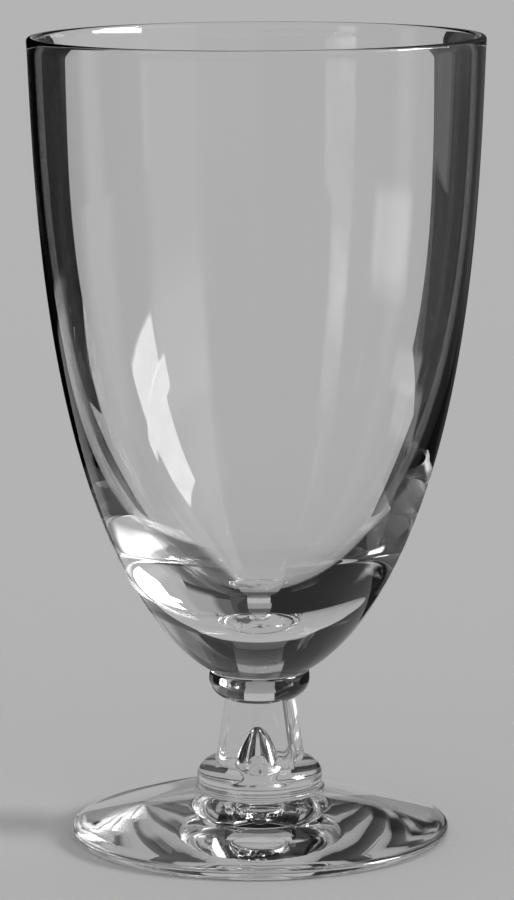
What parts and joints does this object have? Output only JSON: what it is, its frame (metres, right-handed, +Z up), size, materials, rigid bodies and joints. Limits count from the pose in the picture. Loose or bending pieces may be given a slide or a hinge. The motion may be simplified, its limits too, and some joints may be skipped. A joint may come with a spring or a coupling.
{
  "type": "iced tea glass",
  "caption": "Clear footed iced tea glass: tall egg-shaped bowl on a bead, short square stem with an air tear, domed shoulder and round spreading foot.",
  "frame": {"origin": "on the glass's axis, in the plane that the foot rests on", "axes": "+Z up along the glass's axis, -Y towards the front, +X to the right seen from the front"},
  "size_m": [0.0842, 0.0842, 0.15],
  "materials": {
    "blown_glass": "clear, blown and fire-polished",
    "pressed_glass": "clear, pressed and fire-polished"
  },
  "bodies": {
    "root": {"bowl": "blown_glass", "collar": "pressed_glass", "stem": "pressed_glass", "shoulder": "pressed_glass", "base_ring": "pressed_glass", "foot": "pressed_glass"}
  },
  "joints": []
}
